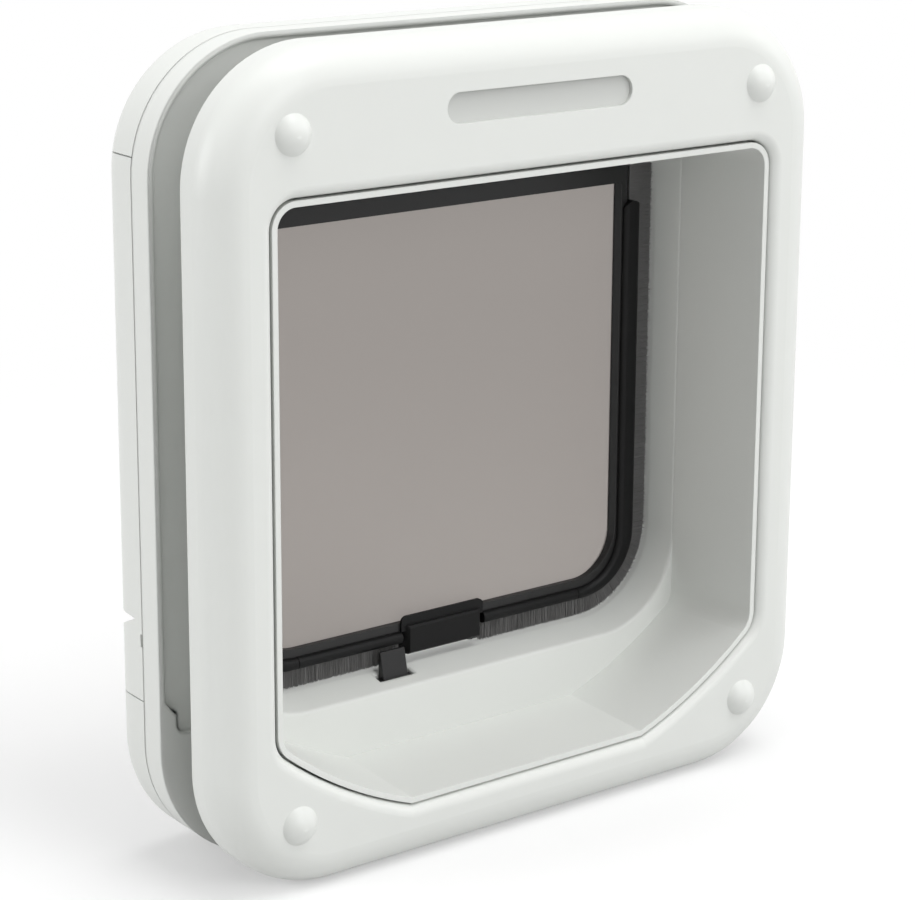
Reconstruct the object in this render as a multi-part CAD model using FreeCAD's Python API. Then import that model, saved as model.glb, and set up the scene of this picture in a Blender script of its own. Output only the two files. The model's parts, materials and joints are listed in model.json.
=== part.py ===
import FreeCAD, Part
import math
import os

# Cat flap for a door: an outer frame, an inner frame with its covers, and a glazed flap between
# them that hangs from two pins and is sealed by pile strips. Millimetres, +Z up, +X to the right
# seen from outside, +Y into the house. Depths are counted from the outer frame's face, and
# place() moves each finished solid so that the origin is the middle of the underside.

# Both frames
WIDTH = 198.0
HEIGHT = 220.0
CORNER_R = 35.0
DOOR_GAP = 15.3             # thickness of the door between the frames

# Outer frame
OUTER_DEPTH = 15.3
OUTER_EDGE_R = 10.0         # rounding of the face into the sides
OUTER_WALL = 2.2
LIP_R = 3.0                 # rolled edge round the passage
COLLAR_WALL = 1.8
OUTER_RIB = 1.4
RIB_PITCH = 20.0
RIB_SETBACK = 1.5           # ribs stop short of the door by this much
RECESS_LENGTH = 60.4        # bare pill-shaped recess above the passage
RECESS_HEIGHT = 8.0
RECESS_DEPTH = 1.0
RECESS_DROP = 18.7          # recess's middle below the frame's top

# Passage outline, as cut in the outer frame
PASSAGE_SIDE = 16.75        # frame beside the passage
PASSAGE_LOW = 16.1
PASSAGE_DROP = 36.8         # passage's head below the frame's top
PASSAGE_TOP_R = 7.5
FLOOR_RISE_WIDTH = 42.25    # each rising arc's reach from the side to the flat floor
FLOOR_ARC_R = 130.0         # the two arcs that rise from it
FLOOR_ARC_START = 19.7      # their slope where they leave the flat, degrees
FLOOR_CORNER_R = 9.0

# Screws through the door
SCREW_INSET = 22.7          # from the frame's side
SCREW_LOW = 20.3
SCREW_DROP = 20.8           # upper screws below the frame's top
SCREW_R = 2.0
SCREW_HOLE_CLEAR = 0.25
SCREW_THREAD_CLEAR = 0.05
SCREW_END_WALL = 1.4        # material left between the screw's tip and the dome
HEAD_R = 3.8
HEAD_HEIGHT = 2.6
HEAD_SLOT = 1.0
DOME_R = 5.25
DOME_RISE = 2.8
OUTER_PILLAR_R = 4.25
INNER_PILLAR_R = 4.6
INNER_PILLAR_REAR = 16.0    # pillar's rear end behind the rim's front

# Liner between the frames
LINER_GAP = 0.5
LINER_WALL = 1.6
LINER_TAPER = 1.0           # how far the outline closes in along the liner
LINER_DRAW = 1.9            # how much further its sides do
LINER_SETBACK = 1.5
SOCKET_CLEAR = 0.2
SOCKET_WALL = 1.6
SOCKET_SETBACK = 0.3

# Inner frame
RIM_DEPTH = 8.1
RIM_WALL = 1.5
RIM_RECESS = 1.9            # hollow between the rim and the plate
PLATE = 2.0
PAD_Z = 39.2                # level of the full-depth lower part
PAD_CORNER_R = 3.3
PAD_NECK_Z = 44.8
PAD_SIDE_Z = 50.8
PAD_NECK_X = 4.7            # neck's distance from the side
PAD_WALL = 1.5
THROAT_STEP = 6.05          # throat's side inside the passage's
THROAT_LOW = 37.6
THROAT_DROP = 3.7           # throat's head below the passage's
THROAT_R = 25.5
THROAT_TOP_R = 3.0
THROAT_WALL = 2.0
THROAT_FLARE = 1.05         # wider by this much at the mouth
SILL_FALL = 2.2             # the sill falls towards the outside
MOUTH_LENGTH = 10.0

# Covers on the house side
SEAM = 0.4
COVER_WALL = 2.0
COVER_EDGE_R = 8.0
COVER_LIP = 1.5
COVER_LIP_CLEAR = 0.2
COVER_LIP_OVERLAP = 3.0
COVER_THROAT_CLEAR = 0.15
COVER_SEAM = 0.3
TOP_SEAM_DROP = 29.6        # upper seam below the frame's top
LOW_SEAM_Z = 47.0
NOTCH_Z = 68.9              # V-shaped notch in each side
NOTCH_DEPTH = 12.0
NOTCH_UP = 1.0
NOTCH_DOWN = 5.5
NOTCH_INSET = 9.5
PRY_Z = 63.7
PRY_HEIGHT = 3.4
PRY_DEPTH = 0.8

# Flap
SIDE_CLEAR = 0.4
LOW_CLEAR = 0.6
PILE_SHOW = 5.8             # free length of the pile at the sides
PILE_SHOW_LOW = 5.6
PILE_THICK = 1.2
PILE_ROOT_R = 17.0
PILE_DROP = 4.0             # pile's end below the hinge
HOLDER_WIDTH = 5.7          # bead at the sides
HOLDER_WIDTH_LOW = 3.3      # and along the bottom
HOLDER_LAP = 1.5            # how far the side bead laps the surround's front
HOLDER_THICK = 6.0
HOLDER_LAND = 2.5           # from the surround to the pile's root, at the sides
HOLDER_LAND_LOW = 1.0
HOLDER_R = 18.5
HOLDER_DROP = 13.9          # bead's rounded end below the hinge
HOLDER_IN_R = 14.5
HOLDER_EDGE_R = 1.5
HOLDER_SPLIT_INSET = 21.0   # joints in the bead, from its outer side
HOLDER_SPLIT = 0.2
SURROUND_FRONT = 1.3        # surround's front ahead of the flap's middle plane
SURROUND_SIDE = 3.2
SURROUND_LOW = 2.4
SURROUND_R = 15.5
SURROUND_DROP = 3.5         # surround's head below the hinge
SURROUND_TOP_R = 0.6
WINDOW_R = 13.5
WINDOW_DROP = 8.5           # window's head below the hinge
BEVEL = 1.2                 # the window's wall leans out by this much towards the front
PANEL_FRONT = 0.6           # panel's front behind the flap's middle plane
PANEL_THICK = 2.0
PANEL_BITE = 1.0            # how far the surround overlaps the panel at the edges
HINGE_DROP = 4.5            # hinge below the throat's head
BAR_R = 3.2
BAR_END_CLEAR = 0.8
BAR_WEB = 3.0
PIN_R = 1.6
PIN_RUN_CLEAR = 0.05
PIN_SOCKET = 6.8
PIN_BOSS_R = 3.6
PIN_BOSS = 2.0

# Magnets
MAGNET_LENGTH = 18.0
MAGNET_HEIGHT = 4.0
MAGNET_THICK = 3.0
HOUSING_WIDTH = 24.4        # front face
HOUSING_SPREAD = 2.1        # wider at the back by this much each side
HOUSING_TAPER = 3.5         # depth of the sloping sides
HOUSING_LOW = 40.5
HOUSING_HIGH = 48.8
HOUSING_PROUD = 0.4         # in front of the holders
HOUSING_EDGE = 0.6
HOUSING_RIDGE = 0.8         # thickness of the ridge that laps the surround
HOUSING_RIDGE_HIGH = 51.5
HOUSING_RIDGE_R = 1.8
CUP_WALL = 1.4

# Catches that lock the flap, one each side of it
CATCH_X = 19.1
CATCH_WIDTH = 8.2
CATCH_BASE_WIDTH = 10.7     # base that fills the slot in the sill
CATCH_THICK = 3.0
CATCH_CLEAR = 0.3
CATCH_TOP = 43.6
CATCH_BASE_TOP = 36.0
CATCH_LEDGE = 0.5           # base's front ahead of the sloping front
CATCH_TIP = 0.8
CATCH_FOOT = 22.5
CATCH_STEM = 3.0
CATCH_STEM_WIDTH = 5.0
CATCH_TRAVEL = 6.2
CATCH_LAND = 2.9            # sill between the plate and the outside catch's slot
CATCH_STRIKE = 0.6          # from the outside catch to the closed flap
CATCH_STANDOFF = 0.6        # from the closed flap to the inside catch
SLOT_BEVEL = 0.5            # round each catch's slot in the sill
GUIDE_WALL = 1.0
GUIDE_LOW = 28.0
REAR_ROOM = 0.3             # between the guides and the cover's rear wall
TAB_WIDTH = 9.0
TAB_HEIGHT = 8.0
TAB_THICK = 2.8
TAB_CLEAR = 0.3
TAB_EDGE_R = 0.8
TAB_GROOVES = 3             # finger grooves across each tab
TAB_GROOVE_PITCH = 2.0
TAB_GROOVE_WIDTH = 0.9
TAB_GROOVE_DEPTH = 0.5

# Widths and heights that follow
PASSAGE_WIDTH = WIDTH - 2 * PASSAGE_SIDE
PASSAGE_HIGH = HEIGHT - PASSAGE_DROP
FLOOR_HALF = PASSAGE_WIDTH / 2 - FLOOR_RISE_WIDTH
RECESS_Z = HEIGHT - RECESS_DROP
SCREW_X = WIDTH / 2 - SCREW_INSET
SCREW_HIGH = HEIGHT - SCREW_DROP
THROAT_HALF = PASSAGE_WIDTH / 2 - THROAT_STEP
THROAT_HIGH = PASSAGE_HIGH - THROAT_DROP
TOP_SEAM_Z = HEIGHT - TOP_SEAM_DROP
HINGE_Z = THROAT_HIGH - HINGE_DROP
SURROUND_TOP = HINGE_Z - SURROUND_DROP
WINDOW_TOP = HINGE_Z - WINDOW_DROP
PILE_TOP = HINGE_Z - PILE_DROP
HOLDER_TOP = HINGE_Z - HOLDER_DROP

# Depths that follow
OUTER_BACK = OUTER_DEPTH
RIM_FRONT = OUTER_BACK + DOOR_GAP
PLATE_FRONT = RIM_FRONT + RIM_RECESS
PLATE_BACK = PLATE_FRONT + PLATE
COVER_FRONT = RIM_FRONT + RIM_DEPTH + SEAM
OUTSIDE_CATCH_FRONT = PLATE_BACK + CATCH_LAND + CATCH_CLEAR
FLAP_Y = OUTSIDE_CATCH_FRONT + CATCH_THICK + CATCH_STRIKE + HOLDER_THICK / 2
INSIDE_CATCH_FRONT = FLAP_Y + HOLDER_THICK / 2 + CATCH_STANDOFF
REAR = INSIDE_CATCH_FRONT + CATCH_THICK + CATCH_CLEAR + GUIDE_WALL + REAR_ROOM + COVER_WALL
PILLAR_REAR = RIM_FRONT + INNER_PILLAR_REAR
TAB_REAR = REAR + TAB_CLEAR + TAB_THICK
MIDDLE_Y = (TAB_REAR - DOME_RISE) / 2
REACH = 2 * HEIGHT          # longer than any piece, for cutters

V = FreeCAD.Vector
DOWN, RIGHT, UP, LEFT, ROUND = 0, math.pi / 2, math.pi, 3 * math.pi / 2, 2 * math.pi


def arc(cx, cz, r, start, end, y):
    """Three points of an arc about (cx, cz); its angles run from straight down towards +X."""
    def at(angle):
        return V(cx + r * math.sin(angle), y, cz - r * math.cos(angle))
    return at(start), at((start + end) / 2), at(end)


def joined(arcs):
    """Closed wire through the arcs in order, with straight lines between them."""
    edges = []
    for here, following in zip(arcs, arcs[1:] + arcs[:1]):
        edges.append(Part.Arc(*here).toShape())
        if here[2].distanceToPoint(following[0]) > 1e-6:
            edges.append(Part.makeLine(here[2], following[0]))
    return Part.Wire(edges)


def rounded(half, low, high, low_r, high_r, y):
    """Upright rectangle, symmetrical about X = 0, with rounded corners."""
    return joined([
        arc(half - low_r, low + low_r, low_r, DOWN, RIGHT, y),
        arc(half - high_r, high - high_r, high_r, RIGHT, UP, y),
        arc(high_r - half, high - high_r, high_r, UP, LEFT, y),
        arc(low_r - half, low + low_r, low_r, LEFT, ROUND, y),
    ])


def passage(inset, y, drawn=0):
    """The passage's outline drawn smaller by inset: flat floor, two rising arcs, square head.

    The sides may be drawn in further than the floor and head."""
    half = PASSAGE_WIDTH / 2 - drawn
    start = math.radians(FLOOR_ARC_START)
    cx = FLOOR_HALF - FLOOR_ARC_R * math.sin(start)
    cz = PASSAGE_LOW + FLOOR_ARC_R * math.cos(start)
    kx = half - FLOOR_CORNER_R
    kz = cz - math.sqrt((FLOOR_ARC_R - FLOOR_CORNER_R) ** 2 - (kx - cx) ** 2)
    turn = math.atan2(kx - cx, cz - kz)
    leave = math.acos((cz - PASSAGE_LOW - inset) / (FLOOR_ARC_R - inset))
    rise_r, corner_r, top_r = FLOOR_ARC_R - inset, FLOOR_CORNER_R - inset, PASSAGE_TOP_R - inset
    tx, tz = half - PASSAGE_TOP_R, PASSAGE_HIGH - PASSAGE_TOP_R
    return joined([
        arc(cx, cz, rise_r, leave, turn, y),
        arc(kx, kz, corner_r, turn, RIGHT, y),
        arc(tx, tz, top_r, RIGHT, UP, y),
        arc(-tx, tz, top_r, UP, LEFT, y),
        arc(-kx, kz, corner_r, LEFT, ROUND - turn, y),
        arc(-cx, cz, rise_r, ROUND - turn, ROUND - leave, y),
    ])


def prism(wire, length):
    return Part.Face(wire).extrude(V(0, length, 0))


def slab(inset, front, rear):
    """The frames' common outline, drawn smaller by inset, between two depths."""
    r = CORNER_R - inset
    wire = rounded(WIDTH / 2 - inset, inset, HEIGHT - inset, r, r, front)
    return prism(wire, rear - front)


def block(x0, x1, y0, y1, z0, z1):
    return Part.makeBox(x1 - x0, y1 - y0, z1 - z0, V(x0, y0, z0))


def rod(x, z, r, front, rear):
    """Round bar along Y."""
    return Part.makeCylinder(r, rear - front, V(x, front, z), V(0, 1, 0))


def edges_at(shape, y):
    """Edges that lie in the plane Y = y."""
    def flat(edge):
        box = edge.BoundBox
        return abs(box.YMin - y) < 1e-4 and abs(box.YMax - y) < 1e-4
    return [edge for edge in shape.Edges if flat(edge)]


def screw_places():
    return [(side * SCREW_X, z) for z in (SCREW_LOW, SCREW_HIGH) for side in (-1, 1)]


def dome(x, z):
    """Blind cap of a screw pillar on the face, turned about the pillar's axis."""
    ball_r = (DOME_R ** 2 + DOME_RISE ** 2) / (2 * DOME_RISE)
    half_angle = math.asin(DOME_R / ball_r) / 2
    apex, rim = V(x, -DOME_RISE, z), V(x + DOME_R, 0, z)
    middle = V(x + ball_r * math.sin(half_angle), ball_r - DOME_RISE - ball_r * math.cos(half_angle), z)
    root = OUTER_WALL / 2
    edges = [Part.Arc(apex, middle, rim).toShape(),
             Part.makeLine(rim, V(x + DOME_R, root, z)),
             Part.makeLine(V(x + DOME_R, root, z), V(x, root, z)),
             Part.makeLine(V(x, root, z), apex)]
    return Part.Face(Part.Wire(edges)).revolve(V(x, 0, z), V(0, 1, 0), 360)


def outer_frame():
    """Hollow moulding with a rounded face, a collar round the passage, ribs and screw pillars."""
    body = slab(0, 0, OUTER_DEPTH)
    body = body.makeFillet(OUTER_EDGE_R, edges_at(body, 0))
    hollow = slab(OUTER_WALL, OUTER_WALL, OUTER_DEPTH)
    hollow = hollow.makeFillet(OUTER_EDGE_R - OUTER_WALL, edges_at(hollow, OUTER_WALL))
    hollow = hollow.cut(prism(passage(-COLLAR_WALL, 0), OUTER_DEPTH))
    body = body.cut(prism(passage(0, 0), OUTER_DEPTH))
    lip = [edge for edge in edges_at(body, 0) if edge.BoundBox.XMax <= PASSAGE_WIDTH / 2 + 1e-3
           and edge.BoundBox.XMin >= -PASSAGE_WIDTH / 2 - 1e-3
           and edge.BoundBox.ZMin >= PASSAGE_LOW - 1e-3 and edge.BoundBox.ZMax <= PASSAGE_HIGH + 1e-3]
    body = body.makeFillet(LIP_R, lip)
    rolled = prism(passage(-LIP_R - COLLAR_WALL / 2, OUTER_WALL), LIP_R)
    hollow = hollow.cut(rolled)
    stiffening = [rib.common(hollow) for rib in outer_ribs()]
    pillars = [rod(x, z, OUTER_PILLAR_R, OUTER_WALL / 2, OUTER_DEPTH) for x, z in screw_places()]
    domes = [dome(x, z) for x, z in screw_places()]
    body = body.cut(hollow).fuse(stiffening + pillars + domes)
    recess_r = RECESS_HEIGHT / 2
    pill = rounded(RECESS_LENGTH / 2, RECESS_Z - recess_r, RECESS_Z + recess_r,
                   recess_r - 1e-3, recess_r - 1e-3, 0)
    holes = [rod(x, z, SCREW_R + SCREW_THREAD_CLEAR, SCREW_END_WALL, OUTER_DEPTH)
             for x, z in screw_places()]
    return body.cut([prism(pill, RECESS_DEPTH)] + holes)


def outer_ribs():
    """Upright ribs above and below the passage and level ribs beside it."""
    rear = OUTER_DEPTH - RIB_SETBACK
    ribs = []
    for step in spaced(WIDTH - 2 * CORNER_R):
        ribs.append(block(step - OUTER_RIB / 2, step + OUTER_RIB / 2, 0, rear, 0, HEIGHT))
    for step in spaced(HEIGHT - 2 * CORNER_R):
        z = HEIGHT / 2 + step
        ribs.append(block(-WIDTH / 2, WIDTH / 2, 0, rear, z - OUTER_RIB / 2, z + OUTER_RIB / 2))
    return ribs


def spaced(length):
    """Even steps about zero, one pitch apart, within a length."""
    count = int(length // RIB_PITCH)
    return [(i - count / 2) * RIB_PITCH for i in range(count + 1)]


def outer_liner():
    """Tapered sleeve that lines the door's cut-out; its rear end seats in the inner frame."""
    front, rear = LINER_SETBACK, PLATE_FRONT

    def sleeve(inset):
        sections = [passage(inset, front), passage(inset + LINER_TAPER, rear, LINER_DRAW)]
        return Part.makeLoft(sections, True, True)
    return sleeve(LINER_GAP).cut(sleeve(LINER_GAP + LINER_WALL))


def throat(wall):
    """The passage through the inner frame, or the outside of its wall."""
    def section(y, flare, fall):
        return rounded(THROAT_HALF + flare + wall, THROAT_LOW - fall - wall, THROAT_HIGH + wall,
                       THROAT_R + wall, THROAT_TOP_R + wall, y)
    mouth_end = PLATE_FRONT + MOUTH_LENGTH
    mouth = Part.makeLoft([section(PLATE_FRONT, THROAT_FLARE, SILL_FALL), section(mouth_end, 0, 0)],
                          True, True)
    return mouth.fuse(prism(section(mouth_end, 0, 0), REAR - mouth_end))


def lower_part(inset, front, rear):
    """The full-depth lower part of the inner frame, with its stepped upper corners."""
    side = WIDTH / 2
    neck = side - PAD_NECK_X - inset
    r = PAD_CORNER_R
    level = PAD_Z - inset
    corner = neck - r
    right = [V(side, front, 0), V(side, front, PAD_SIDE_Z - inset), V(neck, front, PAD_NECK_Z),
             V(neck, front, level + r)]
    left = [V(-p.x, p.y, p.z) for p in reversed(right)]
    edges = [Part.makeLine(a, b) for a, b in zip(right, right[1:])]
    edges.append(Part.Arc(*arc(corner, level + r, r, RIGHT, DOWN, front)).toShape())
    edges.append(Part.makeLine(V(corner, front, level), V(-corner, front, level)))
    edges.append(Part.Arc(*arc(-corner, level + r, r, ROUND, LEFT, front)).toShape())
    edges += [Part.makeLine(a, b) for a, b in zip(left, left[1:])]
    edges.append(Part.makeLine(left[-1], right[0]))
    return prism(Part.Wire(edges), rear - front)


def catch_slot(front, grow, low, high):
    """Upright slot for a catch's blade, seen from above a rectangle, grown on all sides."""
    return block(-CATCH_BASE_WIDTH / 2 - grow, CATCH_BASE_WIDTH / 2 + grow,
                 front - grow, front + CATCH_THICK + grow, low, high)


def sill_level(y):
    """Height of the sill at a depth: it falls towards the outside within the throat's mouth."""
    into = min(y - PLATE_FRONT, MOUTH_LENGTH)
    return THROAT_LOW - SILL_FALL * (1 - into / MOUTH_LENGTH)


def slot_mouth(front):
    """Bevelled mouth of a catch's slot, along the slope of the sill."""
    def rim(grow, rise):
        half, y0, y1 = CATCH_BASE_WIDTH / 2 + grow, front - grow, front + CATCH_THICK + grow
        corners = [(-half, y0), (half, y0), (half, y1), (-half, y1), (-half, y0)]
        return Part.makePolygon([V(x, y, sill_level(y) + rise) for x, y in corners])
    return Part.makeLoft([rim(CATCH_CLEAR, -SLOT_BEVEL), rim(CATCH_CLEAR + 2 * SLOT_BEVEL, SLOT_BEVEL)],
                         True, True)


def catch_fronts():
    """Sideways place and front of the outside catch and of the inside catch."""
    return ((-CATCH_X, OUTSIDE_CATCH_FRONT), (CATCH_X, INSIDE_CATCH_FRONT))


def magnet_cup():
    """Pocket under the sill that holds the frame's magnet below the flap's."""
    cup = block(-MAGNET_LENGTH / 2 - CUP_WALL, MAGNET_LENGTH / 2 + CUP_WALL,
                FLAP_Y - MAGNET_HEIGHT / 2 - CUP_WALL, FLAP_Y + MAGNET_HEIGHT / 2 + CUP_WALL,
                THROAT_LOW - THROAT_WALL - MAGNET_THICK, THROAT_LOW)
    return cup, frame_magnet()


def frame_magnet():
    high = THROAT_LOW - THROAT_WALL
    return block(-MAGNET_LENGTH / 2, MAGNET_LENGTH / 2, FLAP_Y - MAGNET_HEIGHT / 2,
                 FLAP_Y + MAGNET_HEIGHT / 2, high - MAGNET_THICK, high)


def inner_frame():
    """Moulding on the house side: rim against the door, plate, throat, guides and pillars."""
    rim = slab(0, RIM_FRONT, RIM_FRONT + RIM_DEPTH).cut(slab(RIM_WALL, RIM_FRONT, RIM_FRONT + RIM_DEPTH))
    plate = slab(0, PLATE_FRONT, PLATE_BACK)
    outline = slab(0, RIM_FRONT, PLATE_BACK)
    lower = lower_part(0, RIM_FRONT, PLATE_BACK).common(outline)
    lower_hollow = lower_part(PAD_WALL, RIM_FRONT + PAD_WALL, PLATE_BACK)
    lower_hollow = lower_hollow.common(slab(PAD_WALL, RIM_FRONT, PLATE_BACK))
    socket_outer = passage(LINER_GAP - SOCKET_CLEAR - SOCKET_WALL, RIM_FRONT + SOCKET_SETBACK)
    socket = prism(socket_outer, RIM_RECESS - SOCKET_SETBACK + PLATE)
    liner_room = prism(passage(LINER_GAP - SOCKET_CLEAR, RIM_FRONT), RIM_RECESS)
    pillars = [rod(x, z, INNER_PILLAR_R, RIM_FRONT, PILLAR_REAR) for x, z in screw_places()]
    guides = [catch_slot(front, CATCH_CLEAR + GUIDE_WALL, GUIDE_LOW, THROAT_LOW)
              .translated(V(x, 0, 0)) for x, front in catch_fronts()]
    slots = [catch_slot(front, CATCH_CLEAR, 0, THROAT_LOW + SILL_FALL)
             .translated(V(x, 0, 0)) for x, front in catch_fronts()]
    slots += [slot_mouth(front).translated(V(x, 0, 0)) for x, front in catch_fronts()]
    cup, magnet_room = magnet_cup()
    pin_bosses = [bar_along_x(side * (THROAT_HALF + THROAT_WALL / 2),
                              side * (THROAT_HALF + THROAT_WALL + PIN_BOSS), PIN_BOSS_R)
                  for side in (-1, 1)]
    pin_holes = [bar_along_x(side * THROAT_HALF / 2, side * WIDTH / 2, PIN_R + PIN_RUN_CLEAR)
                 for side in (-1, 1)]
    screw_holes = [rod(x, z, SCREW_R + SCREW_HOLE_CLEAR, 0, REAR) for x, z in screw_places()]
    body = plate.fuse(lower).cut(lower_hollow)
    body = body.fuse([rim, socket, throat(THROAT_WALL), cup] + guides + pillars + pin_bosses)
    body = body.cut(liner_room).cut(throat(0))
    return body.cut(slots + [magnet_room] + pin_holes + screw_holes)


def bar_along_x(x0, x1, r):
    """Round bar on the hinge's axis."""
    start, end = min(x0, x1), max(x0, x1)
    return Part.makeCylinder(r, end - start, V(start, FLAP_Y, HINGE_Z), V(1, 0, 0))


def notch(grow):
    """V-shaped notch across the rear corner of one side, or the same grown by a wall."""
    tip = REAR - NOTCH_DEPTH - grow
    x = WIDTH / 2 - NOTCH_INSET - grow
    points = [V(x, tip, NOTCH_Z), V(x, REAR, NOTCH_Z + NOTCH_UP + grow),
              V(x, REAR, NOTCH_Z - NOTCH_DOWN - grow)]
    wedge = Part.Face(Part.makePolygon(points + points[:1])).extrude(V(REACH, 0, 0))
    return wedge.fuse(wedge.mirror(V(0, 0, 0), V(1, 0, 0)))


def cover_shell():
    """The house-side cover before it is parted: rounded rear edge, inner lip, throat and notches."""
    body = slab(0, COVER_FRONT, REAR)
    body = body.makeFillet(COVER_EDGE_R, edges_at(body, REAR)).cut(notch(0))
    hollow = slab(COVER_WALL, COVER_FRONT, REAR - COVER_WALL)
    hollow = hollow.makeFillet(COVER_EDGE_R - COVER_WALL, edges_at(hollow, REAR - COVER_WALL))
    body = body.cut(hollow.cut(notch(COVER_WALL)))
    lip_out = RIM_WALL + COVER_LIP_CLEAR
    lip = slab(lip_out, PLATE_BACK, COVER_FRONT + COVER_LIP_OVERLAP)
    lip = lip.cut(slab(lip_out + COVER_LIP, PLATE_BACK, COVER_FRONT + COVER_LIP_OVERLAP))
    hole = rounded(THROAT_HALF + THROAT_WALL + COVER_THROAT_CLEAR,
                   THROAT_LOW - THROAT_WALL - COVER_THROAT_CLEAR,
                   THROAT_HIGH + THROAT_WALL + COVER_THROAT_CLEAR,
                   THROAT_R + THROAT_WALL, THROAT_TOP_R + THROAT_WALL, PLATE_BACK)
    pry = block(-REACH, REACH, 0, COVER_FRONT + PRY_DEPTH, PRY_Z - PRY_HEIGHT / 2, PRY_Z + PRY_HEIGHT / 2)
    pry = pry.cut(slab(RIM_WALL, 0, REAR))
    return body.fuse(lip).cut([prism(hole, REAR - PLATE_BACK), pry])


def cover_part(low, high):
    return cover_shell().common(block(-REACH, REACH, 0, REACH, low, high))


def top_cover():
    return cover_part(TOP_SEAM_Z + COVER_SEAM / 2, REACH)


def side_cover():
    return cover_part(LOW_SEAM_Z + COVER_SEAM / 2, TOP_SEAM_Z - COVER_SEAM / 2)


def lower_cover():
    """Cover over the catches, slotted for the stems of their finger tabs."""
    room = CATCH_CLEAR + CATCH_STEM_WIDTH / 2
    slots = [block(x - room, x + room, REAR - 2 * COVER_WALL, REAR + COVER_WALL,
                   CATCH_FOOT - CATCH_TRAVEL - CATCH_CLEAR, CATCH_FOOT + CATCH_STEM + CATCH_CLEAR)
             for x, front in catch_fronts()]
    return cover_part(-REACH, LOW_SEAM_Z - COVER_SEAM / 2).cut(slots)


# Flap outlines, each given as half width, lowest edge and corner radius
PILE_OUT = (THROAT_HALF - SIDE_CLEAR, THROAT_LOW + LOW_CLEAR, THROAT_R - SIDE_CLEAR)
HOLDER_OUT = (PILE_OUT[0] - PILE_SHOW, PILE_OUT[1] + PILE_SHOW_LOW, HOLDER_R)
HOLDER_IN = (HOLDER_OUT[0] - HOLDER_WIDTH, HOLDER_OUT[1] + HOLDER_WIDTH_LOW, HOLDER_IN_R)
SURROUND_OUT = (HOLDER_IN[0] + HOLDER_LAP, HOLDER_IN[1], SURROUND_R)
WINDOW = (SURROUND_OUT[0] - SURROUND_SIDE, SURROUND_OUT[1] + SURROUND_LOW, WINDOW_R)
PILE_ROOT = (SURROUND_OUT[0] + HOLDER_LAND, SURROUND_OUT[1] - HOLDER_LAND_LOW, PILE_ROOT_R)
PANEL = (WINDOW[0] + PANEL_BITE, WINDOW[1] - PANEL_BITE, WINDOW[2] + PANEL_BITE)
HOLDER_SPLIT_X = HOLDER_OUT[0] - HOLDER_SPLIT_INSET


def flap_layer(outline, top, top_r, front, rear):
    """Prism of one of the flap's outlines between two depths."""
    half, low, low_r = outline
    return prism(rounded(half, low, top, low_r, top_r, front), rear - front)


def surround():
    """Moulded frame of the flap: bevelled round the window, rebated behind for the panel."""
    front = FLAP_Y - SURROUND_FRONT
    body = flap_layer(SURROUND_OUT, SURROUND_TOP, SURROUND_TOP_R, front, panel_rear())
    window = Part.makeLoft([
        rounded(WINDOW[0] + BEVEL, WINDOW[1], WINDOW_TOP, WINDOW[2] + BEVEL, SURROUND_TOP_R, front),
        rounded(WINDOW[0], WINDOW[1], WINDOW_TOP, WINDOW[2], SURROUND_TOP_R, FLAP_Y + PANEL_FRONT)],
        True, True)
    ear = PILE_ROOT[0] - SURROUND_OUT[0]
    ears = [block(x, x + ear, FLAP_Y + PANEL_FRONT, panel_rear(), HOLDER_TOP + HOLDER_SPLIT, SURROUND_TOP)
            for x in (-PILE_ROOT[0], SURROUND_OUT[0])]
    return body.fuse(ears).cut([window, panel()])


def panel():
    """Smoked pane set in the rear of the surround."""
    return flap_layer(PANEL, WINDOW_TOP + PANEL_BITE, SURROUND_TOP_R, FLAP_Y + PANEL_FRONT, panel_rear())


def panel_rear():
    return FLAP_Y + PANEL_FRONT + PANEL_THICK


def pile_room():
    """Where the pile strips run: from their root in the holders out to the flap's edge."""
    front, rear = FLAP_Y - PILE_THICK / 2, FLAP_Y + PILE_THICK / 2
    whole = flap_layer(PILE_OUT, PILE_TOP, SURROUND_TOP_R, front, rear)
    return whole.cut(flap_layer(PILE_ROOT, REACH, SURROUND_TOP_R, front, rear))


def holder_ring():
    """Bead that clamps the pile and laps the surround, down both sides and along the bottom."""
    front, rear = FLAP_Y - HOLDER_THICK / 2, FLAP_Y + HOLDER_THICK / 2
    ring = flap_layer(HOLDER_OUT, REACH, SURROUND_TOP_R, front, rear)
    ring = ring.cut(flap_layer(HOLDER_IN, REACH + HEIGHT, SURROUND_TOP_R, front, rear))
    ring = ring.cut(flap_layer(SURROUND_OUT, REACH + HEIGHT, SURROUND_TOP_R, FLAP_Y - SURROUND_FRONT, rear))
    ring = ring.common(block(-REACH, REACH, front, rear, 0, HEIGHT))

    def outer(edge):
        box = edge.BoundBox
        return max(-box.XMin, box.XMax) > SURROUND_OUT[0] + 1e-3 or box.ZMin < SURROUND_OUT[1] - 1e-3

    run = edges_at(ring, front) + [edge for edge in edges_at(ring, rear) if outer(edge)]
    ring = ring.makeFillet(HOLDER_EDGE_R, [edge for edge in run if edge.BoundBox.ZMin < HOLDER_TOP])
    ring = ring.cut(pile_room())
    end = HOLDER_WIDTH / 2
    keep = block(-REACH, REACH, 0, REACH, 0, HOLDER_TOP - end)
    for side in (-1, 1):
        keep = keep.fuse(rod(side * (HOLDER_IN[0] + end), HOLDER_TOP - end, end, front, rear))
    return ring.common(keep)


def holder(x0, x1):
    return holder_ring().common(block(x0, x1, 0, REACH, 0, HEIGHT))


def pile(side):
    """Pile strip of one side, from the hinge round the corner to the magnet's housing."""
    x0, x1 = sorted((side * housing_half(), side * WIDTH / 2))
    return pile_room().common(block(x0, x1, 0, REACH, 0, HEIGHT))


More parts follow.
